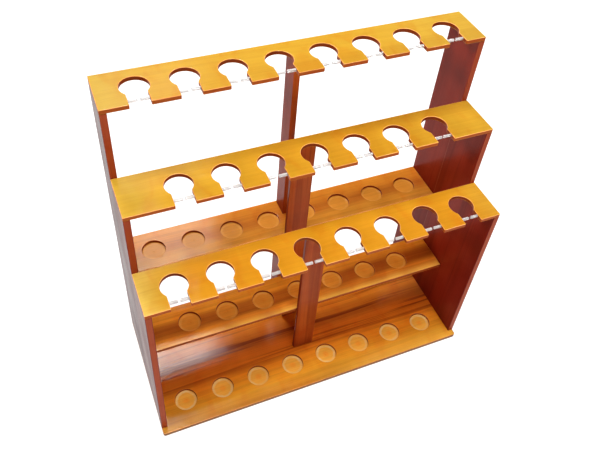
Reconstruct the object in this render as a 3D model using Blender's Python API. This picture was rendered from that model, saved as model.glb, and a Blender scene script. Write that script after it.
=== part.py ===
"""Three-tier stepped wooden tube rack: slotted rails, cup shelves, stepped side panels and soft nubs.

Lengths are in metres.  +X runs along the rack, the low tier faces -Y and +Z is up.
The rack stands on Z = 0 and is centred on X = 0; Y = 0 is the front face of the side panels,
and centre_the_rack() moves everything so that the whole rack is centred on Y = 0 as well.
"""
import math

import bmesh
import bpy
from mathutils import Matrix, Vector

MM = 0.001
GAP = 0.3 * MM                      # clearance between pieces that touch

# Overall layout
WIDTH = 425.0 * MM
TIER_DEPTH = 56.3 * MM
TIERS = ("front", "middle", "rear")
SHELF_TOPS = (6.0 * MM, 92.2 * MM, 180.2 * MM)
RAIL_ABOVE_SHELF = 247.2 * MM       # shelf top to rail top, the same on every tier

# Boards
BASE_THICKNESS = SHELF_TOPS[0]
BASE_LIP = 8.0 * MM                 # how far the base stands out in front of the panels
BASE_CORNER_RADIUS = 3.0 * MM
PANEL_THICKNESS = 7.3 * MM
RAIL_THICKNESS = 5.0 * MM
SHELF_THICKNESS = 5.0 * MM

# Keyholes and cups
KEYHOLE_PITCH = 50.0 * MM
KEYHOLE_COUNTS = {"front": 8, "middle": 7, "rear": 8}
KEYHOLE_SHIFT = {"front": 0.3 * MM, "middle": 0.4 * MM, "rear": 1.9 * MM}
KEYHOLE_RADIUS = 15.1 * MM
KEYHOLE_SETBACK = 27.9 * MM         # rail front edge to hole centre
SLOT_HALF_WIDTH = 10.6 * MM
ARC_STEPS = 30
CUP_PITCH = 49.7 * MM
CUP_RADIUS = 14.3 * MM
CUP_SETBACK = 27.6 * MM
CUP_DEPTH = 3.0 * MM
CUP_SIDES = 48

# Centre posts
POST_WIDTH = 28.0 * MM
POST_THICKNESS = 5.3 * MM
FOOT_POST_WIDTH = 22.0 * MM
FOOT_POST_FRONT = 102.7 * MM
REAR_POST_THICKNESS = 7.6 * MM
REAR_POST_FRONT = 143.8 * MM
REAR_POST_BACK = 167.0 * MM

# Soft nubs in the slot mouths
NUB_RADIUS = 1.8 * MM
NUB_SETBACK = 8.8 * MM              # rail front edge to nub centre line
NUB_TIP_FROM_CENTRE = 1.2 * MM      # slot centre to nub tip
NUB_PIVOT_FROM_WALL = NUB_RADIUS + GAP
NUB_SIDES = 12
NUB_TIP_CHAMFER = 0.4 * MM


def clear_scene():
    for old in list(bpy.data.objects):
        bpy.data.objects.remove(old, do_unlink=True)


def make_material(name, colour, roughness, metallic=0.0, alpha=1.0):
    material = bpy.data.materials.new(name)
    material.use_nodes = True
    shader = material.node_tree.nodes["Principled BSDF"]
    shader.inputs["Base Color"].default_value = (*colour, 1.0)
    shader.inputs["Roughness"].default_value = roughness
    shader.inputs["Metallic"].default_value = metallic
    shader.inputs["Alpha"].default_value = alpha
    material.diffuse_color = (*colour, alpha)
    return material


def new_object(name, bm, material, location=(0.0, 0.0, 0.0)):
    """Turn a bmesh into a named object with outward faces."""
    bmesh.ops.recalc_face_normals(bm, faces=bm.faces)
    mesh = bpy.data.meshes.new(name)
    bm.to_mesh(mesh)
    bm.free()
    mesh.materials.append(material)
    obj = bpy.data.objects.new(name, mesh)
    obj.location = location
    bpy.context.scene.collection.objects.link(obj)
    return obj


def smooth_round_faces(obj):
    obj.data.shade_smooth()
    obj.data.set_sharp_from_angle(angle=math.radians(35.0))


def extruded_outline(points, direction):
    """A prism: the closed outline is swept along the direction vector."""
    bm = bmesh.new()
    face = bm.faces.new([bm.verts.new(p) for p in points])
    swept = bmesh.ops.extrude_face_region(bm, geom=[face])
    moved = [v for v in swept["geom"] if isinstance(v, bmesh.types.BMVert)]
    bmesh.ops.translate(bm, verts=moved, vec=Vector(direction))
    return bm


def box(low, high):
    bm = bmesh.new()
    bmesh.ops.create_cube(bm, size=1.0)
    size = Vector(high) - Vector(low)
    middle = (Vector(high) + Vector(low)) / 2.0
    bmesh.ops.transform(bm, matrix=Matrix.Diagonal((*size, 1.0)), verts=bm.verts)
    bmesh.ops.translate(bm, verts=bm.verts, vec=middle)
    return bm


def arc(centre_x, centre_y, radius, start, end, steps):
    """Points along an arc in the XY plane, both ends included, angles in radians."""
    angles = [start + (end - start) * i / steps for i in range(steps + 1)]
    return [(centre_x + radius * math.cos(a), centre_y + radius * math.sin(a)) for a in angles]


def tier_front(tier):
    return TIERS.index(tier) * TIER_DEPTH


def rail_top(tier):
    return SHELF_TOPS[TIERS.index(tier)] + RAIL_ABOVE_SHELF


def row_centres(tier, pitch, shift=0.0):
    """X of each keyhole or cup of a row, spread evenly about the rack's middle."""
    count = KEYHOLE_COUNTS[tier]
    return [shift + (i - (count - 1) / 2.0) * pitch for i in range(count)]


def keyhole_centres(tier):
    return row_centres(tier, KEYHOLE_PITCH, KEYHOLE_SHIFT[tier])


# Boards -----------------------------------------------------------------------------------

def cut_cups(board, tier, top):
    """Sink a row of flat-bottomed round cups into a board's top face with one Boolean cutter."""
    bm = bmesh.new()
    height = 2.0 * CUP_DEPTH
    for x in row_centres(tier, CUP_PITCH):
        place = Matrix.Translation((x, tier_front(tier) + CUP_SETBACK, top))
        bmesh.ops.create_cone(bm, cap_ends=True, segments=CUP_SIDES, radius1=CUP_RADIUS,
                              radius2=CUP_RADIUS, depth=height, matrix=place)
    cutter = new_object(f"{board.name}_cup_cutter", bm, board.data.materials[0])
    cutter.hide_render = True
    cutter.display_type = "WIRE"
    cups = board.modifiers.new("cups", "BOOLEAN")
    cups.operation = "DIFFERENCE"
    cups.object = cutter
    cups.solver = "EXACT"


def make_base(wood):
    """The base board: it carries both panels and its rounded front lip stands out before them."""
    half = WIDTH / 2.0
    front = -BASE_LIP
    back = len(TIERS) * TIER_DEPTH
    r = BASE_CORNER_RADIUS
    outline = [(half, back), (-half, back)]
    outline += arc(-half + r, front + r, r, math.pi, 1.5 * math.pi, 6)
    outline += arc(half - r, front + r, r, 1.5 * math.pi, 2.0 * math.pi, 6)
    bm = extruded_outline([(x, y, 0.0) for x, y in outline], (0.0, 0.0, BASE_THICKNESS))
    base = new_object("base_board", bm, wood)
    cut_cups(base, "front", SHELF_TOPS[0])
    return base


def make_shelf(tier, wood):
    """A cup shelf between the side panels, with one cup under each keyhole of its tier."""
    half = WIDTH / 2.0 - PANEL_THICKNESS - GAP
    top = SHELF_TOPS[TIERS.index(tier)]
    front = tier_front(tier) + GAP
    back = tier_front(tier) + TIER_DEPTH - (GAP if tier == "middle" else 0.0)
    bm = box((-half, front, top - SHELF_THICKNESS), (half, back, top))
    shelf = new_object(f"{tier}_cup_shelf", bm, wood)
    cut_cups(shelf, tier, top)
    return shelf


def make_side_panel(side, wood):
    """A stepped end panel: it stands on the base and each step carries the end of a rail."""
    outline = [(0.0, BASE_THICKNESS + GAP)]
    for tier in TIERS:
        step = rail_top(tier) - RAIL_THICKNESS - GAP
        outline += [(tier_front(tier), step), (tier_front(tier) + TIER_DEPTH, step)]
    outline.append((len(TIERS) * TIER_DEPTH, BASE_THICKNESS + GAP))
    start = -WIDTH / 2.0 if side == "left" else WIDTH / 2.0 - PANEL_THICKNESS
    bm = extruded_outline([(start, y, z) for y, z in outline], (PANEL_THICKNESS, 0.0, 0.0))
    return new_object(f"{side}_side_panel", bm, wood)


def keyhole_outline(x, front):
    """A slot from the rail's front edge that opens into a round hole, left wall first."""
    centre = front + KEYHOLE_SETBACK
    shoulder = math.acos(SLOT_HALF_WIDTH / KEYHOLE_RADIUS)
    start = math.pi + shoulder
    round_part = arc(x, centre, KEYHOLE_RADIUS, start, -shoulder, ARC_STEPS)
    return [(x - SLOT_HALF_WIDTH, front), *round_part, (x + SLOT_HALF_WIDTH, front)]


def make_rail(tier, wood):
    """A flat rail across the steps, cut from the front by a row of keyholes."""
    half = WIDTH / 2.0
    front = tier_front(tier)
    back = front + TIER_DEPTH - (0.0 if tier == TIERS[-1] else GAP)
    bottom = rail_top(tier) - RAIL_THICKNESS
    outline = [(-half, front)]
    for x in keyhole_centres(tier):
        outline += keyhole_outline(x, front)
    outline += [(half, front), (half, back), (-half, back)]
    bm = extruded_outline([(x, y, bottom) for x, y in outline], (0.0, 0.0, RAIL_THICKNESS))
    rail = new_object(f"{tier}_slotted_rail", bm, wood)
    smooth_round_faces(rail)
    return rail


# Centre posts -----------------------------------------------------------------------------

def make_post(name, width, front, back, bottom, top, wood):
    bm = box((-width / 2.0, front, bottom), (width / 2.0, back, top))
    return new_object(name, bm, wood)


def make_posts(wood):
    """Posts on the rack's centre line that hold up the middles of the rails and shelves."""
    on_base = BASE_THICKNESS + GAP
    on_middle = SHELF_TOPS[1] + GAP
    on_rear = SHELF_TOPS[2] + GAP
    under_middle = SHELF_TOPS[1] - SHELF_THICKNESS - GAP
    under_rear = SHELF_TOPS[2] - SHELF_THICKNESS - GAP
    under_rail = {tier: rail_top(tier) - RAIL_THICKNESS - GAP for tier in TIERS}
    make_post("front_centre_post", POST_WIDTH, TIER_DEPTH - POST_THICKNESS, TIER_DEPTH,
              on_base, under_rail["front"], wood)
    make_post("middle_centre_post", POST_WIDTH, 2.0 * TIER_DEPTH - POST_THICKNESS,
              2.0 * TIER_DEPTH, on_middle, under_rail["middle"], wood)
    make_post("middle_foot_post", FOOT_POST_WIDTH, FOOT_POST_FRONT,
              FOOT_POST_FRONT + POST_THICKNESS, on_base, under_middle, wood)
    make_post("rear_centre_post", REAR_POST_THICKNESS, REAR_POST_FRONT, REAR_POST_BACK,
              on_rear, under_rail["rear"], wood)
    make_post("rear_foot_post", REAR_POST_THICKNESS, REAR_POST_FRONT, REAR_POST_BACK,
              on_base, under_rear, wood)


# Soft nubs --------------------------------------------------------------------------------

def nub_mesh(material):
    """A soft nub along +X: its round root is centred on its hinge, so it swings clear of the wall."""
    tip = SLOT_HALF_WIDTH - NUB_PIVOT_FROM_WALL - NUB_TIP_FROM_CENTRE
    profile = [(-NUB_RADIUS * math.cos(a), NUB_RADIUS * math.sin(a))
               for a in (math.radians(30.0), math.radians(60.0))]
    profile += [(0.0, NUB_RADIUS), (tip - NUB_TIP_CHAMFER, NUB_RADIUS),
                (tip, NUB_RADIUS - NUB_TIP_CHAMFER)]
    bm = bmesh.new()
    rings = []
    for x, radius in profile:
        turn = [2.0 * math.pi * k / NUB_SIDES for k in range(NUB_SIDES)]
        rings.append([bm.verts.new((x, radius * math.cos(t), radius * math.sin(t))) for t in turn])
    for low, high in zip(rings, rings[1:]):
        bmesh.ops.bridge_loops(bm, edges=ring_edges(bm, low) + ring_edges(bm, high))
    root = bm.verts.new((-NUB_RADIUS, 0.0, 0.0))
    for k in range(NUB_SIDES):
        bm.faces.new((root, rings[0][k], rings[0][(k + 1) % NUB_SIDES]))
    bm.faces.new(rings[-1])
    bmesh.ops.recalc_face_normals(bm, faces=bm.faces)
    mesh = bpy.data.meshes.new("nub")
    bm.to_mesh(mesh)
    bm.free()
    mesh.materials.append(material)
    mesh.shade_smooth()
    mesh.set_sharp_from_angle(angle=math.radians(50.0))
    return mesh


def ring_edges(bm, ring):
    """The closed loop of edges round a ring of vertices, made where it doesn't exist yet."""
    edges = []
    for a, b in zip(ring, ring[1:] + ring[:1]):
        edges.append(bm.edges.get((a, b)) or bm.edges.new((a, b)))
    return edges


def make_nubs(silicone):
    """A pair of nubs in each slot mouth, each with its origin on its own upright hinge."""
    mesh = nub_mesh(silicone)
    reach = SLOT_HALF_WIDTH - NUB_PIVOT_FROM_WALL
    for tier in TIERS:
        y = tier_front(tier) + NUB_SETBACK
        z = rail_top(tier) - RAIL_THICKNESS / 2.0
        for number, x in enumerate(keyhole_centres(tier), start=1):
            for side, direction in (("left", -1.0), ("right", 1.0)):
                nub = bpy.data.objects.new(f"{tier}_nub_{number}_{side}", mesh)
                nub.location = (x + direction * reach, y, z)
                nub.rotation_euler.z = 0.0 if side == "left" else math.pi
                bpy.context.scene.collection.objects.link(nub)


def centre_the_rack():
    """Shift every object so that the rack's front lip and back edge are equally far from Y = 0."""
    middle = (len(TIERS) * TIER_DEPTH - BASE_LIP) / 2.0
    for obj in bpy.data.objects:
        obj.location.y -= middle


def main():
    clear_scene()
    rail_wood = make_material("amber_varnished_wood", (0.80, 0.42, 0.10), 0.30)
    shelf_wood = make_material("orange_varnished_wood", (0.66, 0.27, 0.07), 0.30)
    panel_wood = make_material("red_brown_varnished_wood", (0.33, 0.09, 0.04), 0.32)
    silicone = make_material("milky_silicone", (0.88, 0.87, 0.84), 0.35, alpha=0.7)
    make_base(shelf_wood)
    for side in ("left", "right"):
        make_side_panel(side, panel_wood)
    for tier in TIERS:
        make_rail(tier, rail_wood)
    for tier in TIERS[1:]:
        make_shelf(tier, shelf_wood)
    make_posts(panel_wood)
    make_nubs(silicone)
    centre_the_rack()


main()
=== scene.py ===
"""Looks for the stepped wooden tube rack: rounded boards, drilled cups, silicone nubs and varnished wood."""
import math
import random

import bmesh
import bpy
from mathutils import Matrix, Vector


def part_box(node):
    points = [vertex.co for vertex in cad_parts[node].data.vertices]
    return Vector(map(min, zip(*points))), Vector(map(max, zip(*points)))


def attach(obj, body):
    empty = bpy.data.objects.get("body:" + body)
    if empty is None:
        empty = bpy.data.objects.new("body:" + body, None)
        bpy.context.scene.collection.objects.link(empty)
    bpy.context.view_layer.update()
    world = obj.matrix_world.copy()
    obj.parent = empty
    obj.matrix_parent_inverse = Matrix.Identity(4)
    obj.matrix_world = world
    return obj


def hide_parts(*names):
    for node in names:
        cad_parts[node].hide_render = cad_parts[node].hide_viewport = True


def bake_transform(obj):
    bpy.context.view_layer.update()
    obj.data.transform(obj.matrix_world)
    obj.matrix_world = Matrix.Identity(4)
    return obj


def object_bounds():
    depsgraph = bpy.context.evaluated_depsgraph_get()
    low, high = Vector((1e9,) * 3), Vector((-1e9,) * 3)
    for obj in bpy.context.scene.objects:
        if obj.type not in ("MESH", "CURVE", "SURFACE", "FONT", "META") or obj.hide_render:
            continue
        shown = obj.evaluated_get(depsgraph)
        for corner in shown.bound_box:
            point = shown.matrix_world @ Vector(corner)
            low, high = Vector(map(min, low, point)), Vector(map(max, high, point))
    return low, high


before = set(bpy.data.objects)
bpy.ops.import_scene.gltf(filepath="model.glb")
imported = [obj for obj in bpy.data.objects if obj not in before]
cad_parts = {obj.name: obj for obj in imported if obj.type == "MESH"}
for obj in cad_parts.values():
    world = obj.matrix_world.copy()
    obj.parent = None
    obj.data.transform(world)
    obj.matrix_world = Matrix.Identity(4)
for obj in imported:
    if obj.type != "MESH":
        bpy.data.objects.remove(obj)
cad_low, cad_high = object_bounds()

MM = 0.001
TIERS = ("front", "middle", "rear")
KEYHOLE_PITCH = 50.0 * MM
KEYHOLE_COUNTS = {"front": 8, "middle": 7, "rear": 8}
KEYHOLE_SHIFT = {"front": 0.3 * MM, "middle": 0.4 * MM, "rear": 1.9 * MM}
KEYHOLE_RADIUS = 15.1 * MM
KEYHOLE_SETBACK = 27.9 * MM         # from a rail's front edge to the middle of its keyholes
SLOT_HALF_WIDTH = 10.6 * MM
SHOULDER_RADIUS = 2.6 * MM
MOUTH_RADIUS = 0.9 * MM
CUP_PITCH = 49.7 * MM
CUP_RADIUS = 14.3 * MM
CUP_SETBACK = 27.6 * MM             # from the front edge of the rail above to the middle of the cups
CUP_SIDES = 64
CUP_PIT_DEPTH = 3.45 * MM           # of the drill point's mark in a cup's middle
# A cup's section from rim to middle: (mm outside the cup's radius, mm below the board's face).
CUP_PROFILE = [(0.30, 0.0), (0.10, 0.08), (0.0, 0.30), (0.0, 2.35), (-0.25, 2.80), (-0.80, 3.0),
               (-1.3, 2.93), (-2.2, 2.93), (-6.0, 2.95), (-11.0, 2.98), (-13.0, 3.06), (-13.7, 3.25)]
CUP_WALL_LEVEL = 1                  # the section's steps before this are rim
CUP_FLOOR_LEVEL = 4                 # and before this wall
BASE_CORNER_RADIUS = 3.0 * MM
CORNER_RADIUS = 0.8 * MM            # rounding of a board's corners seen face on
PANEL_CORNER_RADIUS = 0.9 * MM
POST_CORNER_RADIUS = 0.7 * MM
ARRIS = 0.55 * MM                   # rounding along a board's long edges
PANEL_ARRIS = 0.6 * MM
POST_ARRIS = 0.15 * MM
JOINT_REACH = 0.25 * MM             # a board's end reaches this far into the gap at its joint
PANEL_GAP = 0.05 * MM               # between a panel's step and the rail on it
NUB_SIDES = 28
NUB_STEPS = 14                      # along a sleeve
NUB_LENGTH_SPREAD = 0.35 * MM
NUB_WALL_GAP = 0.3 * MM             # from the moving nub to its slot's wall
NUB_BURIED = 0.9 * MM               # of a sleeve inside the wall
NUB_ROOT_RATIO = 0.97               # of a sleeve's radius inside the wall to its radius outside
NUB_BORE_RATIO = 0.60
# The rounding of a sleeve's tip: (mm back from the tip, mm in from the outside or out from the bore).
NUB_OUTER_TIP = [(0.35, 0.0), (0.10, 0.08), (0.0, 0.30)]
NUB_INNER_TIP = [(0.0, 0.25), (0.12, 0.05)]
CORNER_STEPS = 5
MOUTH_STEPS = 4
HOLE_STEPS = 56
ARRIS_STEPS = 3
POST_ARRIS_STEPS = 2
MITRE_LIMIT = 0.5                   # a sharp corner moves inwards by at most the distance over this
SIDE_ON = 0.9                       # how squarely a face looks outwards to count as a panel's outside
FRONT_ON = 0.5                      # or forwards or back to count as a post's face

# Places in a piece's list of materials.
# CUT faces and cup walls get a darker, redder wood than FACE: partly stain soaking into the cut grain, partly
# painted shade.
FACE, CUT = 0, 1
RAIL_EDGE_PLACE = 2
PANEL_OUTSIDE_PLACE = 2
CUP_FLOOR_PLACE, BOARD_EDGE_PLACE, CUP_WALL_PLACE = 2, 3, 4

LEFT_END = cad_low[0]
RACK_WIDTH = cad_high[0] - cad_low[0]

rng = random.Random(11)


# Outlines ---------------------------------------------------------------------------------

def arc(cx, cy, radius, start, end, steps):
    turns = [start + (end - start) * i / steps for i in range(steps + 1)]
    return [(cx + radius * math.cos(t), cy + radius * math.sin(t)) for t in turns]


def rounded_corner(before, corner, after, radius):
    """The arc that replaces a polygon's corner."""
    b = Vector(corner)
    u = (Vector(before) - b).normalized()
    v = (Vector(after) - b).normalized()
    half = u.angle(v) / 2.0
    reach = radius / math.tan(half)
    centre = b + (u + v).normalized() * (radius / math.sin(half))
    start, end = b + u * reach - centre, b + v * reach - centre
    turn = start.angle_signed(end)
    base = math.atan2(start.y, start.x)
    return arc(centre.x, centre.y, radius, base, base - turn, CORNER_STEPS)


def rounded_polygon(points, radius=CORNER_RADIUS, special=None):
    """The polygon with every corner rounded; special gives other radii by corner number."""
    outline = []
    for i, point in enumerate(points):
        r = (special or {}).get(i, radius)
        outline += rounded_corner(points[i - 1], point, points[(i + 1) % len(points)], r)
    return outline


def keyhole(x, front):
    """One slot and round hole, from the left of the mouth round to the right."""
    centre = front + KEYHOLE_SETBACK
    mouth = front + MOUTH_RADIUS
    reach = KEYHOLE_RADIUS + SHOULDER_RADIUS
    side = SLOT_HALF_WIDTH + SHOULDER_RADIUS
    drop = math.sqrt(reach ** 2 - side ** 2)
    lean = math.atan2(drop, side)
    left = arc(x - side, centre - drop, SHOULDER_RADIUS, 0.0, lean, CORNER_STEPS)
    hole = arc(x, centre, KEYHOLE_RADIUS, math.pi + lean, -lean, HOLE_STEPS)
    right = arc(x + side, centre - drop, SHOULDER_RADIUS, math.pi - lean, math.pi, CORNER_STEPS)
    wide = SLOT_HALF_WIDTH + MOUTH_RADIUS
    mouth_left = arc(x - wide, mouth, MOUTH_RADIUS, -0.5 * math.pi, 0.0, MOUTH_STEPS)
    mouth_right = arc(x + wide, mouth, MOUTH_RADIUS, math.pi, 1.5 * math.pi, MOUTH_STEPS)
    return mouth_left + left + hole[1:-1] + right + mouth_right


# Solids -----------------------------------------------------------------------------------

def inset_ring(outline, distance):
    """Each point moved inwards, for an outline that runs anticlockwise."""
    ring = []
    count = len(outline)
    for i, point in enumerate(outline):
        before, after = Vector(outline[i - 1]), Vector(outline[(i + 1) % count])
        p = Vector(point)
        a, b = (p - before).normalized(), (after - p).normalized()
        na, nb = Vector((-a.y, a.x)), Vector((-b.y, b.x))
        n = (na + nb).normalized()
        ring.append(p + n * (distance / max(MITRE_LIMIT, n.dot(na))))
    return ring


def area(outline):
    return sum(p[0] * q[1] - q[0] * p[1] for p, q in zip(outline, outline[1:] + outline[:1])) / 2.0


def bridge(bm, rings, material_at):
    """Faces between neighbouring rings of vertices; material_at gives each level's material."""
    for level, (a, b) in enumerate(zip(rings, rings[1:])):
        for i in range(len(a)):
            j = (i + 1) % len(a)
            bm.faces.new((a[i], a[j], b[j], b[i])).material_index = material_at(level)


def circle(bm, sides, place):
    """A ring of vertices; place turns an angle's cosine and sine into a point."""
    turns = [2 * math.pi * k / sides for k in range(sides)]
    return [bm.verts.new(place(math.cos(t), math.sin(t))) for t in turns]


def edges_round(bm, ring):
    return [bm.edges.get(pair) for pair in zip(ring, ring[1:] + ring[:1])]


def rounded_prism(outline, place, low, high, arris=ARRIS, steps=ARRIS_STEPS, top_holes=None, edge_place=FACE):
    """A board: the outline swept from low to high with rounded edges. place turns (u, v, h) into a point.

    The upper rounded edge gets the material at edge_place. top_holes adds holes to the upper face."""
    if area(outline) < 0:
        outline = outline[::-1]
    bm = bmesh.new()
    levels = []
    for i in range(steps + 1):
        t = math.radians(90.0) * i / steps
        levels.append((arris * (1 - math.sin(t)), low + arris * (1 - math.cos(t))))
    levels += [(inset, high - (h - low)) for inset, h in reversed(levels)]
    rings = [[bm.verts.new(place(p.x, p.y, h)) for p in inset_ring(outline, inset)] for inset, h in levels]
    bridge(bm, rings, lambda level: FACE if level < steps else CUT if level == steps else edge_place)
    bm.faces.new(rings[0][::-1])
    if top_holes:
        edges = edges_round(bm, rings[-1])
        for hole in top_holes(bm):
            edges += edges_round(bm, hole)
        bmesh.ops.triangle_fill(bm, use_beauty=True, edges=edges)
    else:
        bm.faces.new(rings[-1])
    bmesh.ops.recalc_face_normals(bm, faces=bm.faces)
    return bm


def cup_material(level):
    if level < CUP_WALL_LEVEL:
        return BOARD_EDGE_PLACE
    return CUP_WALL_PLACE if level < CUP_FLOOR_LEVEL else CUP_FLOOR_PLACE


def drilled_cups(centres, y, top):
    """A function that adds the cups' walls and floors to a mesh and returns each cup's rim."""
    def add(bm):
        rims = []
        for x in centres:
            rings = []
            for out, depth in CUP_PROFILE:
                r = CUP_RADIUS + out * MM
                z = top - depth * MM
                rings.append(circle(bm, CUP_SIDES, lambda cosine, sine: (x + r * cosine, y + r * sine, z)))
            bridge(bm, rings, cup_material)
            pit = bm.verts.new((x, y, top - CUP_PIT_DEPTH))
            for a, b in zip(rings[-1], rings[-1][1:] + rings[-1][:1]):
                bm.faces.new((a, b, pit)).material_index = CUP_FLOOR_PLACE
            rims.append(rings[0])
        return rims
    return add


def new_object(name, bm, materials):
    """The mesh as a smooth-shaded object in the scene, with its materials."""
    mesh = bpy.data.meshes.new(name)
    bm.to_mesh(mesh)
    bm.free()
    for material in materials:
        mesh.materials.append(material)
    mesh.shade_smooth()
    obj = bpy.data.objects.new(name, mesh)
    bpy.context.scene.collection.objects.link(obj)
    return obj


def finish_board(name, bm, materials, node):
    """Make a board's object, keep its faces flat and let it stand for its CAD node."""
    obj = new_object(name, bm, materials)
    weighted = obj.modifiers.new("flat faces stay flat", "WEIGHTED_NORMAL")
    weighted.mode = "FACE_AREA"
    weighted.weight = 80
    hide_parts(node)
    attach(obj, "rack")


def flat(u, v, h):
    return (u, v, h)


def upright(u, v, h):
    """An outline in the YZ plane, swept along X."""
    return (h, u, v)


# Materials --------------------------------------------------------------------------------

def linear(rgb):
    """A display colour, 0 to 255, as linear light."""
    return tuple(((c / 255 + 0.055) / 1.055) ** 2.4 if c > 10 else c / 255 / 12.92 for c in rgb) + (1.0,)


class Shader:
    """Short ways to add nodes to one material."""

    def __init__(self, name):
        self.material = bpy.data.materials.new(name)
        self.material.use_nodes = True
        self.tree = self.material.node_tree
        self.bsdf = self.tree.nodes["Principled BSDF"]

    def put(self, socket, value):
        if isinstance(value, bpy.types.NodeSocket):
            self.tree.links.new(value, socket)
        elif value is not None:
            socket.default_value = value

    def math(self, operation, a, b=None, c=None):
        node = self.tree.nodes.new("ShaderNodeMath")
        node.operation = operation
        for socket, value in zip(node.inputs, (a, b, c)):
            self.put(socket, value)
        return node.outputs[0]

    def vector(self, operation, a, b):
        node = self.tree.nodes.new("ShaderNodeVectorMath")
        node.operation = operation
        self.put(node.inputs[0], a)
        self.put(node.inputs[1], b)
        return node.outputs["Vector"]

    def length(self, a, b):
        """How long a vector with these two parts is."""
        return self.math("SQRT", self.math("ADD", self.math("MULTIPLY", a, a), self.math("MULTIPLY", b, b)))

    def grey(self, value):
        return self.join(value, value, value)

    def tint(self, colour, by):
        """A colour multiplied by another."""
        return self.mix(1.0, colour, by, "MULTIPLY")

    def split(self, vector):
        node = self.tree.nodes.new("ShaderNodeSeparateXYZ")
        self.put(node.inputs[0], vector)
        return node.outputs

    def join(self, x, y, z):
        node = self.tree.nodes.new("ShaderNodeCombineXYZ")
        for socket, value in zip(node.inputs, (x, y, z)):
            self.put(socket, value)
        return node.outputs[0]

    def place(self):
        return self.tree.nodes.new("ShaderNodeTexCoord").outputs["Object"]

    def noise(self, vector, scale, detail=2.0, roughness=0.5, distortion=0.0, colour=False):
        node = self.tree.nodes.new("ShaderNodeTexNoise")
        scaled = self.vector("MULTIPLY", vector, scale)
        self.put(node.inputs["Vector"], scaled)
        node.inputs["Scale"].default_value = 1.0
        node.inputs["Detail"].default_value = detail
        node.inputs["Roughness"].default_value = roughness
        node.inputs["Distortion"].default_value = distortion
        return node.outputs["Color" if colour else "Fac"]

    def ramp(self, value, stops):
        node = self.tree.nodes.new("ShaderNodeValToRGB")
        node.color_ramp.interpolation = "EASE"
        elements = node.color_ramp.elements
        while len(elements) < len(stops):
            elements.new(0.5)
        for element, (position, colour) in zip(elements, stops):
            element.position = position
            element.color = colour if len(colour) == 4 else (*colour, 1.0)
        self.put(node.inputs[0], value)
        return node.outputs[0]

    def level(self, value, low, high, out_low=0.0, out_high=1.0, smooth=True):
        """A step of a value from one level to another."""
        node = self.tree.nodes.new("ShaderNodeMapRange")
        node.interpolation_type = "SMOOTHSTEP" if smooth else "LINEAR"
        for socket, v in zip(node.inputs, (value, low, high, out_low, out_high)):
            self.put(socket, v)
        return node.outputs[0]

    def mix(self, factor, a, b, blend="MIX"):
        """Two colours mixed; the numbered sockets are a Mix node's factor, A and B for colours."""
        node = self.tree.nodes.new("ShaderNodeMix")
        node.data_type = "RGBA"
        node.blend_type = blend
        node.clamp_factor = True
        self.put(node.inputs[0], factor)
        self.put(node.inputs[6], a)
        self.put(node.inputs[7], b)
        return node.outputs[2]

    def bump(self, height, strength, distance, normal=None):
        node = self.tree.nodes.new("ShaderNodeBump")
        node.inputs["Strength"].default_value = strength
        node.inputs["Distance"].default_value = distance
        self.put(node.inputs["Height"], height)
        self.put(node.inputs["Normal"], normal)
        return node.outputs[0]


# Noise scales in cells per metre, along the grain and twice across it.
WANDER_SCALE = (2.2, 9.0, 9.0)
STREAK_SCALE = (1.6, 34.0, 34.0)
BAND_SCALE = (0.7, 11.0, 11.0)
LINE_SCALE = (1.4, 105.0, 105.0)
FIBRE_SCALE = (11.0, 620.0, 620.0)
FLECK_SCALE = (70.0, 1900.0, 1900.0)
MOTTLE_SCALE = (46.0, 24.0, 24.0)
BRUSH_SCALE = (9.0, 170.0, 170.0)
SMEAR_SCALE = (14.0, 20.0, 20.0)
WOBBLE_SCALE = (130.0, 130.0, 130.0)
PATCH_SCALE = (60.0, 60.0, 60.0)
CLOUD_SCALE = (420.0, 420.0, 420.0)
DUST_SCALE = (2600.0, 2600.0, 2600.0)
PAPER_SCALE = (60.0, 60.0, 60.0)
# Random numbers: how far into the noise a board lies, how its growth rings lean, and where their middle is.
GRAIN_SHIFT = (1.0, 9.0)
RING_LEAN = (-0.05, 0.05)
RING_MIDDLE = (4.0, 6.0)
WANDER_REACH = 22.0 * MM            # how far the grain wanders sideways
RINGS_PER_METRE = 165.0
STAIN_DRIFT = 20.0 * MM             # how far the stain's stops wander

# Where a feature fades in, as two values of its noise, and after them what it fades between, if not 0 and 1.
RING_RISE = (0.25, 0.90)
RING_FALL = (0.90, 1.0, 1.0, 0.0)
PORE_FADE = (0.60, 0.70)
LINE_FADE = (0.50, 0.38)
LATE_WOOD_FADE = (0.40, 0.60, 0.02, 0.10)
FIBRE_RANGE = (0.30, 0.72)
SMEAR_ROUGHNESS = (0.30, 0.70, 0.34, 0.46)
CUP_FLOOR_ROUGHNESS = (0.30, 0.70, 0.40, 0.52)
CUP_FLOOR_FIBRES = (0.30, 0.72, 0.93, 1.05)
PATCH_FADE = (0.35, 0.65, 0.25, 0.60)
DUST_ROUGHNESS = (0.35, 0.70, 0.30, 0.45)

# How strongly each feature shows in the colour, the roughness and the relief.
STREAK_SHARE, BAND_SHARE = 0.45, 0.55
FIBRE_DARK, FIBRE_LIGHT, PORE_DARK = 0.06, 0.05, 0.08
PORE_ROUGHNESS = 0.10
FIBRE_RELIEF, PORE_RELIEF, BRUSH_RELIEF = 0.6, -0.5, 0.5
SMEAR_RIPPLE, FIBRE_RIPPLE = 3.0, 1.2
TURNED_TINT, TURNED_RELIEF = 0.03, 0.5
SPOT_STRENGTH = 0.55
WOOD_SPECULAR = 0.06
VARNISH_IOR = 1.5
CUP_FLOOR_GLOSS, CUP_FLOOR_POLISH = 0.6, 0.15
# Bumps: strength and height.
WOOD_BUMP = (0.25, 0.12 * MM)
SMEAR_BUMP = (0.30, 0.9 * MM)
VARNISH_BUMP = (0.2, 0.4 * MM)
CUP_FLOOR_BUMP = (0.35, 0.12 * MM)
SILICONE_BUMP = (0.2, 0.2 * MM)

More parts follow.
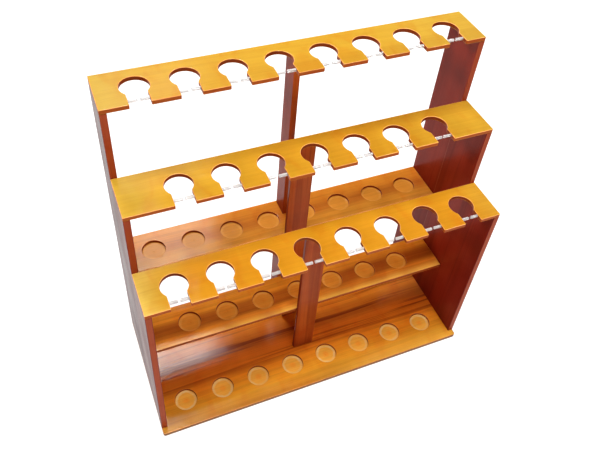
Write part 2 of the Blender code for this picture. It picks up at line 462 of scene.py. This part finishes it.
# What each feature multiplies the stain's colour by.
STREAK_TINTS = [(0.40, (0.66, 0.50, 0.46)), (0.47, (0.93, 0.88, 0.86)), (0.52, (1.0, 1.0, 1.0)),
                (0.60, (1.05, 1.10, 1.10))]
LINE_TINT = (0.42, 0.25, 0.30, 1.0)
LATE_WOOD_TINT = (0.62, 0.45, 0.40, 1.0)
BLUSH_TINTS = [(0.32, (0.98, 0.88, 0.82)), (0.50, (1.0, 1.0, 1.0)), (0.70, (1.02, 1.05, 1.08))]
CUP_FLOOR_TINTS = [(0.3, (0.92, 0.88, 0.85)), (0.7, (1.05, 1.08, 1.12))]

GLUE_COLOUR = (190, 104, 78)
GLUE_STRENGTH = 0.35
GLUE_FADE = (0.2 * MM, 0.8 * MM)    # where the glue line starts to fade and where it ends
MILK_COLOURS = [(0.3, (244, 242, 241)), (0.7, (252, 251, 250))]
SILICONE_CLEARNESS = 0.70
SILICONE_IOR = 1.20

# The marks on a cup's floor, as distances from its middle.
TURNED_PITCH = 1.15 * MM
PALE_RING = (9.5 * MM, 11.8 * MM, 12.9 * MM, 13.8 * MM)
SPOT_FADE = (1.5 * MM, 6.5 * MM)
RING_WOBBLE = 3.5 * MM


def wood_grain(s, seed, grain):
    """What all wood shares: a place along the grain, streaks, dark lines, growth rings, fibres and pores."""
    shift = random.Random(seed)
    x, y, z = s.split(s.place())[:3]
    along, across, depth = {"X": (x, y, z), "Z": (z, y, x)}[grain]
    p = s.vector("ADD", s.join(along, across, depth), tuple(shift.uniform(*GRAIN_SHIFT) for _ in range(3)))
    wander = s.vector("SUBTRACT", s.noise(p, WANDER_SCALE, colour=True), (0.5, 0.5, 0.5))
    q = s.vector("ADD", p, s.vector("MULTIPLY", wander, (0.0, WANDER_REACH, WANDER_REACH)))
    streaks = s.noise(q, STREAK_SCALE, detail=4.0, roughness=0.55)
    bands = s.noise(q, BAND_SCALE)
    lines = s.noise(q, LINE_SCALE, detail=3.0, roughness=0.6)
    qa, qb, qc = s.split(q)[:3]
    lean = shift.uniform(*RING_LEAN)
    ring_y = s.math("ADD", s.math("SUBTRACT", qb, shift.uniform(*RING_MIDDLE)), s.math("MULTIPLY", qa, lean))
    ring_z = s.math("SUBTRACT", qc, shift.uniform(*RING_MIDDLE))
    rings = s.math("FRACT", s.math("MULTIPLY", s.length(ring_y, ring_z), RINGS_PER_METRE))
    rings = s.math("MULTIPLY", s.level(rings, *RING_RISE), s.level(rings, *RING_FALL))
    fibres = s.noise(q, FIBRE_SCALE, detail=3.0, roughness=0.65)
    pores = s.level(s.noise(q, FLECK_SCALE, detail=1.0), *PORE_FADE)
    mottle = s.noise(p, MOTTLE_SCALE, distortion=0.6)
    return {"place": p, "streaks": streaks, "bands": bands, "lines": lines, "rings": rings,
            "fibres": fibres, "pores": pores, "mottle": mottle, "position": (x, y, z)}


def along_board(s, g, stops, axis, start, length):
    """Colours, or grey strengths, along one axis of a board, as stops of (mm from the start, value)."""
    drift = s.math("MULTIPLY", s.math("SUBTRACT", g["bands"], 0.5), STAIN_DRIFT)
    place = s.math("ADD", g["position"]["XYZ".index(axis)], drift)
    reach = s.level(place, start, start + length, smooth=False)
    return s.ramp(reach, [(mm * MM / length, linear(value) if isinstance(value, tuple) else (value,) * 3)
                          for mm, value in stops])


def varnished_wood(name, seed, grain, stain, streak=1.0, lines=0.0, fibre=1.0, gloss=0.4, polish=0.15,
                   span=None, shade=None, joint=None):
    """Stained wood under a brushed varnish: broad streaks, dark grain lines, late wood, fibres and pores.

    stain is one colour, or stops along span, which is (axis, start, length). lines is a strength, or stops.
    shade multiplies the colour with painted shade, in stops from the rack's left end. joint is the Y place of
    a glue line.
    gloss is how strong the varnish is and polish how rough."""
    s = Shader(name)
    g = wood_grain(s, seed, grain)
    base = along_board(s, g, stain, *span) if isinstance(stain, list) else linear(stain)
    tone = s.math("ADD", s.math("MULTIPLY", g["streaks"], STREAK_SHARE),
                  s.math("MULTIPLY", g["bands"], BAND_SHARE))
    colour = s.mix(streak, base, s.tint(base, s.ramp(tone, STREAK_TINTS)))
    if isinstance(lines, list):
        lines = along_board(s, g, lines, *span)
    dark_line = s.math("MULTIPLY", s.level(g["lines"], *LINE_FADE), lines)
    colour = s.mix(dark_line, colour, s.tint(colour, LINE_TINT))
    late_wood = s.math("MULTIPLY", g["rings"], s.level(g["bands"], *LATE_WOOD_FADE))
    colour = s.mix(late_wood, colour, s.tint(base, LATE_WOOD_TINT))
    thread = s.level(g["fibres"], *FIBRE_RANGE, 1.0 - FIBRE_DARK * fibre, 1.0 + FIBRE_LIGHT * fibre)
    pore = s.level(g["pores"], 0.0, 1.0, 1.0, 1.0 - PORE_DARK * fibre)
    colour = s.tint(colour, s.grey(s.math("MULTIPLY", thread, pore)))
    colour = s.tint(colour, s.ramp(g["mottle"], BLUSH_TINTS))
    if shade:
        colour = s.tint(colour, along_board(s, g, shade, "X", LEFT_END, RACK_WIDTH))
    if joint is not None:
        gap = s.math("ABSOLUTE", s.math("SUBTRACT", g["position"][1], joint))
        colour = s.mix(s.level(gap, *GLUE_FADE, GLUE_STRENGTH, 0.0), colour, linear(GLUE_COLOUR))
    s.put(s.bsdf.inputs["Base Color"], colour)
    varnish(s, g, gloss, polish)
    return s.material


def varnish(s, g, gloss, polish):
    """The wood's roughness and relief, and the clear coat over it with its brush marks."""
    brush = s.noise(g["place"], BRUSH_SCALE)
    smear = s.noise(g["place"], SMEAR_SCALE, detail=3.0)
    rough = s.math("ADD", s.level(smear, *SMEAR_ROUGHNESS), s.math("MULTIPLY", g["pores"], PORE_ROUGHNESS))
    s.put(s.bsdf.inputs["Roughness"], rough)
    s.bsdf.inputs["Specular IOR Level"].default_value = WOOD_SPECULAR
    s.bsdf.inputs["Coat Weight"].default_value = gloss
    s.bsdf.inputs["Coat Roughness"].default_value = polish
    s.bsdf.inputs["Coat IOR"].default_value = VARNISH_IOR
    height = s.math("ADD", s.math("MULTIPLY", g["fibres"], FIBRE_RELIEF),
                    s.math("MULTIPLY", g["pores"], PORE_RELIEF))
    height = s.math("ADD", height, s.math("MULTIPLY", brush, BRUSH_RELIEF))
    fine = s.bump(height, *WOOD_BUMP)
    s.put(s.bsdf.inputs["Normal"], s.bump(smear, *SMEAR_BUMP, fine))
    brush_marks = s.math("ADD", brush, s.math("MULTIPLY", g["fibres"], FIBRE_RIPPLE))
    ripple = s.math("ADD", s.math("MULTIPLY", smear, SMEAR_RIPPLE), brush_marks)
    s.put(s.bsdf.inputs["Coat Normal"], s.bump(ripple, *VARNISH_BUMP))


def cup_floor(name, seed, first, pitch, y, ring, field, spot):
    """A cup's floor: fine turned marks left by the drill, a pale outer ring and a darker spot in the middle.
    """
    s = Shader(name)
    g = wood_grain(s, seed, "X")
    px, py, _ = g["position"]
    u = s.math("WRAP", s.math("SUBTRACT", px, first), pitch / 2, -pitch / 2)
    r = s.length(u, s.math("SUBTRACT", py, y))
    unevenness = s.math("SUBTRACT", s.noise(g["place"], WOBBLE_SCALE, detail=3.0), 0.5)
    rr = s.math("ADD", r, s.math("MULTIPLY", unevenness, RING_WOBBLE))
    turned = s.math("SINE", s.math("MULTIPLY", r, 2 * math.pi / TURNED_PITCH))
    tone = s.math("ADD", g["streaks"], s.math("MULTIPLY", turned, TURNED_TINT))
    colour = s.tint(linear(field), s.ramp(tone, CUP_FLOOR_TINTS))
    pale = s.math("MULTIPLY", s.level(rr, *PALE_RING[:2]), s.level(rr, *PALE_RING[2:], 1.0, 0.0))
    patchy = s.level(s.noise(g["place"], PATCH_SCALE), *PATCH_FADE)
    colour = s.mix(s.math("MULTIPLY", pale, patchy), colour, linear(ring))
    colour = s.mix(s.level(rr, *SPOT_FADE, SPOT_STRENGTH, 0.0), colour, linear(spot))
    colour = s.tint(colour, s.grey(s.level(g["fibres"], *CUP_FLOOR_FIBRES)))
    s.put(s.bsdf.inputs["Base Color"], colour)
    s.put(s.bsdf.inputs["Roughness"], s.level(g["fibres"], *CUP_FLOOR_ROUGHNESS))
    s.bsdf.inputs["Specular IOR Level"].default_value = WOOD_SPECULAR
    s.bsdf.inputs["Coat Weight"].default_value = CUP_FLOOR_GLOSS
    s.bsdf.inputs["Coat Roughness"].default_value = CUP_FLOOR_POLISH
    height = s.math("ADD", s.math("MULTIPLY", turned, TURNED_RELIEF), g["fibres"])
    s.put(s.bsdf.inputs["Normal"], s.bump(height, *CUP_FLOOR_BUMP))
    return s.material


def silicone(name):
    """Milky translucent silicone with a faint cloudiness and dust."""
    s = Shader(name)
    cloud = s.noise(s.place(), CLOUD_SCALE, detail=3.0)
    milk = s.ramp(cloud, [(position, linear(colour)) for position, colour in MILK_COLOURS])
    s.put(s.bsdf.inputs["Base Color"], milk)
    dust = s.noise(s.place(), DUST_SCALE)
    s.put(s.bsdf.inputs["Roughness"], s.level(dust, *DUST_ROUGHNESS))
    s.bsdf.inputs["Transmission Weight"].default_value = SILICONE_CLEARNESS
    s.bsdf.inputs["IOR"].default_value = SILICONE_IOR
    s.put(s.bsdf.inputs["Normal"], s.bump(cloud, *SILICONE_BUMP))
    return s.material


# The rack ---------------------------------------------------------------------------------

def low_high(node):
    low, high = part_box(node)
    return Vector(low), Vector(high)


def corners(low, high):
    return [(low.x, low.y), (high.x, low.y), (high.x, high.y), (low.x, high.y)]


def rail_front(tier):
    return low_high(f"{tier}_slotted_rail")[0].y


def row(tier, pitch, shift=0.0):
    """The X places of a tier's keyholes or cups."""
    count = KEYHOLE_COUNTS[tier]
    return [shift + (i - (count - 1) / 2.0) * pitch for i in range(count)]


# Stain colours along the rails, in stops of (mm from the left end, colour). The paler ends are painted light,
# a painted highlight at the left ends, and the rear rail's paler tone is painted light too.
RAIL_STAIN_AND_HIGHLIGHT = {
    "front": [(0, (204, 170, 80)), (30, (200, 152, 50)), (60, (198, 138, 32)), (370, (200, 140, 36)),
              (425, (204, 152, 52))],
    "middle": [(0, (192, 154, 58)), (60, (188, 142, 40)), (250, (188, 136, 38)), (425, (188, 144, 48))],
    "rear": [(0, (176, 142, 58)), (70, (180, 138, 48)), (250, (184, 142, 48)), (425, (184, 148, 60))],
}
# Painted shade: the keyholes' walls get darker away from the rail's front edge, in stops of (mm from that
# edge, colour).
RAIL_CUT_AND_HOLE_SHADE = [(0, (180, 92, 36)), (1, (180, 92, 36)), (6, (138, 62, 24))]
RAIL_EDGE_HIGHLIGHT = (236, 172, 96)          # painted highlight on the rails' pale upper edges
RAIL_FACE_SEED, RAIL_CUT_SEED, RAIL_EDGE_SEED = 20, 30, 34


def make_rails():
    for number, tier in enumerate(TIERS):
        node = f"{tier}_slotted_rail"
        low, high = low_high(node)
        board = rounded_polygon(corners(low, high))
        first_corner_end = CORNER_STEPS + 1
        outline = board[:first_corner_end]
        for x in row(tier, KEYHOLE_PITCH, KEYHOLE_SHIFT[tier]):
            outline += keyhole(x, low.y)
        outline += board[first_corner_end:]
        bm = rounded_prism(outline, flat, low.z, high.z, edge_place=RAIL_EDGE_PLACE)
        face = varnished_wood(f"{tier}_rail_face", RAIL_FACE_SEED + number, "X", RAIL_STAIN_AND_HIGHLIGHT[tier],
                              streak=0.3, lines=0.06, fibre=0.6, gloss=0.22,
                              span=("X", low.x, high.x - low.x))
        cut = varnished_wood(f"{tier}_rail_cut", RAIL_CUT_SEED + number, "X", RAIL_CUT_AND_HOLE_SHADE, streak=0.6,
                             gloss=0.08, span=("Y", low.y, high.y - low.y))
        edge = varnished_wood(f"{tier}_rail_edge_highlight", RAIL_EDGE_SEED + number, "X", RAIL_EDGE_HIGHLIGHT, streak=0.5,
                              gloss=0.6)
        finish_board(f"{tier}_rail", bm, [face, cut, edge], node)


# Stain colours across the boards, in stops of (mm from the front edge, colour). The bright and dark bands are
# mostly painted light and shade, the lit strips and the shadows cast by the rails and shelves above, with
# some wood streaks in them.
BOARD_STAIN_WITH_LIGHT_AND_SHADE = {
    "base_board": [(0, (208, 154, 60)), (14, (220, 158, 54)), (24, (242, 168, 54)), (44, (242, 152, 46)),
                   (60, (222, 126, 38)), (74, (220, 120, 36)), (86, (192, 106, 32)), (96, (208, 122, 38)),
                   (108, (232, 146, 48))],
    "middle_cup_shelf": [(0, (252, 196, 90)), (10, (246, 158, 58)), (18, (196, 114, 40)),
                         (29, (204, 122, 44)), (38, (250, 172, 60))],
    "rear_cup_shelf": [(0, (226, 160, 66)), (12, (218, 150, 58)), (26, (198, 122, 46)), (40, (214, 136, 48))],
}
# Strength of the dark grain lines, in stops of (mm from the front edge, strength).
BOARD_LINES = {
    "base_board": [(0, 0.15), (48, 0.18), (64, 0.95), (95, 0.85), (120, 0.60)],
    "middle_cup_shelf": [(0, 0.05), (14, 0.30), (30, 0.20), (56, 0.15)],
    "rear_cup_shelf": [(0, 0.15), (56, 0.20)],
}
# Painted shade: the base's left end is a little darker, where the left panel shades it, in stops of (mm from
# the rack's left end, colour).
BOARD_PAINTED_SHADE = {"base_board": [(0, (234, 232, 236)), (130, (255, 255, 255))]}
BOARD_CUT = {
    "base_board": (146, 100, 56),
    "middle_cup_shelf": (172, 88, 38),
    "rear_cup_shelf": (172, 88, 38),
}
CUP_WALL = (168, 84, 38)
# Painted highlight on the boards' pale upper edges and the cups' rims.
BOARD_EDGE_HIGHLIGHT = (232, 164, 96)
# Cup floors: pale ring, field and middle spot.
CUP_STAIN = {
    "base_board": ((255, 236, 184), (255, 190, 82), (255, 156, 52)),
    "middle_cup_shelf": ((250, 196, 106), (240, 164, 66), (228, 144, 50)),
    "rear_cup_shelf": ((232, 172, 84), (222, 152, 62), (218, 146, 56)),
}


def make_board(node, tier, seed, corner_radii=None):
    """The base or a shelf, with cups under its tier's keyholes."""
    low, high = low_high(node)
    outline = rounded_polygon(corners(low, high), special=corner_radii)
    y = rail_front(tier) + CUP_SETBACK
    centres = row(tier, CUP_PITCH)
    bm = rounded_prism(outline, flat, low.z, high.z, top_holes=drilled_cups(centres, y, high.z),
                       edge_place=BOARD_EDGE_PLACE)
    face = varnished_wood(f"{node}_face", seed, "X", BOARD_STAIN_WITH_LIGHT_AND_SHADE[node], streak=0.85, lines=BOARD_LINES[node],
                          gloss=0.87, polish=0.05, span=("Y", low.y, high.y - low.y),
                          shade=BOARD_PAINTED_SHADE.get(node))
    cut = varnished_wood(f"{node}_cut", seed + 1, "X", BOARD_CUT[node], streak=0.6, gloss=0.1)
    floor = cup_floor(f"{node}_cup_floor", seed + 2, centres[0], CUP_PITCH, y, *CUP_STAIN[node])
    edge = varnished_wood(f"{node}_edge", seed + 3, "X", BOARD_EDGE_HIGHLIGHT, streak=0.5, gloss=0.6)
    wall = varnished_wood(f"{node}_cup_wall", seed + 4, "X", CUP_WALL, streak=0.6, gloss=0.1)
    finish_board(f"{node}_wood", bm, [face, cut, floor, edge, wall], node)


# Stain colours across the panels, in stops of (mm from the front edge, colour).
PANEL_STAIN = [(0, (124, 38, 28)), (60, (138, 42, 24)), (112, (146, 46, 22)), (177, (134, 40, 20))]
# Painted shade: the panels' outer faces are darker than the same wood on their edges and inner faces.
PANEL_OUTSIDE_SHADED = (100, 38, 26)
PANEL_CUT = (170, 78, 42)
POST_STAIN = (184, 90, 36)
POST_CUT = (150, 54, 26)
PANEL_FACE_SEED, PANEL_CUT_SEED, PANEL_OUTSIDE_SEED = 60, 64, 68
POST_FACE_SEED, POST_CUT_SEED = 70, 80
POSTS = ("front_centre_post", "middle_centre_post", "middle_foot_post", "rear_centre_post", "rear_foot_post")


def make_panels():
    for number, side in enumerate(("left", "right")):
        node = f"{side}_side_panel"
        low, high = low_high(node)
        fronts = [rail_front(tier) for tier in TIERS]
        outline = [(low.y, low.z - JOINT_REACH)]
        for tier, front, back in zip(TIERS, fronts, fronts[1:] + [high.y]):
            step = low_high(f"{tier}_slotted_rail")[0].z - PANEL_GAP
            outline += [(front, step), (back, step)]
        outline.append((high.y, low.z - JOINT_REACH))
        bm = rounded_prism(rounded_polygon(outline, PANEL_CORNER_RADIUS), upright, low.x, high.x, PANEL_ARRIS)
        face = varnished_wood(f"{side}_panel_face", PANEL_FACE_SEED + number, "Z", PANEL_STAIN, streak=0.7,
                              lines=0.3, gloss=0.25, span=("Y", low.y, high.y - low.y), joint=fronts[-1])
        cut = varnished_wood(f"{side}_panel_edge", PANEL_CUT_SEED + number, "Z", PANEL_CUT, streak=0.5,
                             gloss=0.15)
        outside = varnished_wood(f"{side}_panel_outside_shaded", PANEL_OUTSIDE_SEED + number, "Z", PANEL_OUTSIDE_SHADED,
                                 lines=0.45, gloss=0.24)
        outward = -1.0 if side == "left" else 1.0
        for polygon in bm.faces:
            if polygon.normal.x * outward > SIDE_ON:
                polygon.material_index = PANEL_OUTSIDE_PLACE
        finish_board(f"{side}_panel", bm, [face, cut, outside], node)


def make_posts():
    for number, node in enumerate(POSTS):
        low, high = low_high(node)
        outline = rounded_polygon(corners(low, high), POST_CORNER_RADIUS)
        bm = rounded_prism(outline, flat, low.z - JOINT_REACH, high.z + JOINT_REACH, POST_ARRIS,
                           POST_ARRIS_STEPS)
        for polygon in bm.faces:
            polygon.material_index = FACE if abs(polygon.normal.y) > FRONT_ON else CUT
        face = varnished_wood(f"{node}_face", POST_FACE_SEED + number, "Z", POST_STAIN, streak=0.6, lines=0.3,
                              gloss=0.15)
        cut = varnished_wood(f"{node}_side", POST_CUT_SEED + number, "Z", POST_CUT, streak=0.6, gloss=0.2)
        finish_board(f"{node}_wood", bm, [face, cut], node)


def sleeve_profile(length, radius):
    """A hollow sleeve's section, as (distance from the wall, radius), out along the outside and back."""
    bore = NUB_BORE_RATIO * radius
    outer = [(-NUB_BURIED, radius * NUB_ROOT_RATIO)]
    outer += [(length * i / NUB_STEPS, radius) for i in range(NUB_STEPS)]
    outer += [(length - back * MM, radius - inward * MM) for back, inward in NUB_OUTER_TIP]
    inner = [(length - back * MM, bore + outward * MM) for back, outward in NUB_INNER_TIP]
    inner += [(length * i / NUB_STEPS, bore) for i in reversed(range(NUB_STEPS))]
    return outer + inner + [(-NUB_BURIED, bore)]


def nub(name, side, material):
    """A sleeve from inside the slot's wall to just short of the slot's middle."""
    low, high = low_high(name)
    radius = (high.z - low.z) / 2.0
    y, z = (low.y + high.y) / 2.0, (low.z + high.z) / 2.0
    if side == "left":
        direction, tip, wall = 1.0, high.x, low.x - NUB_WALL_GAP
    else:
        direction, tip, wall = -1.0, low.x, high.x + NUB_WALL_GAP
    length = abs(tip - wall) + rng.uniform(-1.0, 0.2) * NUB_LENGTH_SPREAD
    bm = bmesh.new()
    rings = []
    for out, r in sleeve_profile(length, radius):
        x = wall + direction * out
        rings.append(circle(bm, NUB_SIDES, lambda cosine, sine: (x, y + r * cosine, z + r * sine)))
    bridge(bm, rings + rings[:1], lambda level: FACE)
    bmesh.ops.recalc_face_normals(bm, faces=bm.faces)
    obj = new_object(name + "_sleeve", bm, [material])
    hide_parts(name)
    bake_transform(obj)


def make_nubs():
    material = silicone("milky_silicone_sleeve")
    for tier in TIERS:
        for number in range(1, KEYHOLE_COUNTS[tier] + 1):
            for side in ("left", "right"):
                nub(f"{tier}_nub_{number}_{side}", side, material)


# Stage, light and camera --------------------------------------------------------------------

FLOOR_HALF_WIDTH = 6.0
FLOOR_DROP = 0.5 * MM
FLOOR_GLOW = 0.78
PAPER_TINTS = [(0.3, (0.23, 0.23, 0.23)), (0.7, (0.25, 0.25, 0.25))]
LAMP_DISTANCE = 2.7
LAMP_AIM = Vector((0.0, 0.0, 0.2))
# Lamps: azimuth from +Y towards +X, elevation, size in metres and brightness against white paper's 1.
LAMPS = {
    "overhead_softbox": (180.0, 81.0, (0.5, 0.7), 24.0),
    "back_softbox": (345.0, 58.0, (0.5, 0.5), 29.0),
    "back_reflector": (2.0, 57.2, (0.5, 0.33), 9.5),
    "back_wall_glow": (5.0, 45.0, (0.5, 0.6), 4.2),
    "front_softbox": (160.0, 33.0, (1.2, 0.4), 7.0),
    "right_softbox": (90.0, 57.0, (0.8, 0.8), 12.0),
    "left_softbox": (270.0, 55.0, (0.7, 0.7), 22.0),
}
# The world's light falls from its horizon value to its ceiling value between two heights of the direction.
HORIZON_HEIGHT, CEILING_HEIGHT = 0.04, 0.50
HORIZON_LIGHT, CEILING_LIGHT = 0.42, 0.02
CAMERA_PLACE = (-0.25271, -0.47016, 0.82733)
CAMERA_TURN = (45.13, -3.519, -21.998)      # degrees about X, Y and Z
CAMERA_LENS = 40.40
CAMERA_SHIFT = (0.01765, -0.0754)


def make_stage():
    mesh = bpy.data.meshes.new("floor")
    w = FLOOR_HALF_WIDTH
    mesh.from_pydata([(-w, -w, 0), (w, -w, 0), (w, w, 0), (-w, w, 0)], [], [(0, 1, 2, 3)])
    s = Shader("floor_paper")
    grain = s.noise(s.place(), PAPER_SCALE)
    s.put(s.bsdf.inputs["Base Color"], s.ramp(grain, PAPER_TINTS))
    s.bsdf.inputs["Roughness"].default_value = 0.9
    s.bsdf.inputs["Specular IOR Level"].default_value = 0.0
    s.bsdf.inputs["Emission Color"].default_value = (1.0, 1.0, 1.0, 1.0)
    s.bsdf.inputs["Emission Strength"].default_value = FLOOR_GLOW
    mesh.materials.append(s.material)
    floor = bpy.data.objects.new("floor", mesh)
    floor.location.z = -FLOOR_DROP
    bpy.context.scene.collection.objects.link(floor)


def softbox(name, azimuth, elevation, size, brightness):
    """A lamp that faces the rack."""
    turn, rise = math.radians(azimuth), math.radians(elevation)
    away = Vector((math.sin(turn) * math.cos(rise), math.cos(turn) * math.cos(rise), math.sin(rise)))
    light = bpy.data.lights.new(name, "AREA")
    light.shape = "RECTANGLE"
    light.size, light.size_y = size
    light.energy = brightness * size[0] * size[1] * math.pi
    obj = bpy.data.objects.new(name, light)
    obj.location = LAMP_AIM + away * LAMP_DISTANCE
    obj.rotation_euler = (-away).to_track_quat("-Z", "Y").to_euler()
    bpy.context.scene.collection.objects.link(obj)


def make_world():
    """Even light that is brightest near the horizon, like pale studio walls under a dimmer ceiling."""
    world = bpy.data.worlds.new("studio")
    bpy.context.scene.world = world
    world.use_nodes = True
    nodes, links = world.node_tree.nodes, world.node_tree.links
    height = nodes.new("ShaderNodeSeparateXYZ")
    links.new(nodes.new("ShaderNodeTexCoord").outputs["Generated"], height.inputs[0])
    fade = nodes.new("ShaderNodeMapRange")
    fade.interpolation_type = "SMOOTHSTEP"
    fade.inputs["From Min"].default_value = HORIZON_HEIGHT
    fade.inputs["From Max"].default_value = CEILING_HEIGHT
    fade.inputs["To Min"].default_value = HORIZON_LIGHT
    fade.inputs["To Max"].default_value = CEILING_LIGHT
    links.new(height.outputs["Z"], fade.inputs["Value"])
    links.new(fade.outputs[0], nodes["Background"].inputs["Strength"])
    nodes["Background"].inputs["Color"].default_value = (1.0, 1.0, 1.0, 1.0)


def make_lights():
    make_world()
    for name, lamp in LAMPS.items():
        softbox(name, *lamp)


def make_camera():
    """The camera that the photograph's board corners were fitted with."""
    data = bpy.data.cameras.new("camera")
    data.sensor_width = 36.0
    data.lens = CAMERA_LENS
    data.shift_x, data.shift_y = CAMERA_SHIFT
    data.clip_start, data.clip_end = 0.05, 30.0
    camera = bpy.data.objects.new("camera", data)
    camera.location = CAMERA_PLACE
    camera.rotation_euler = [math.radians(angle) for angle in CAMERA_TURN]
    bpy.context.scene.collection.objects.link(camera)
    bpy.context.scene.camera = camera


make_rails()
make_board("base_board", "front", seed=42, corner_radii={0: BASE_CORNER_RADIUS, 1: BASE_CORNER_RADIUS})
make_board("middle_cup_shelf", "middle", seed=46)
make_board("rear_cup_shelf", "rear", seed=50)
make_panels()
make_posts()
make_nubs()
make_stage()
make_lights()
make_camera()
bpy.context.scene.view_settings.view_transform = "Standard"
bpy.context.scene.view_settings.look = "Medium High Contrast"
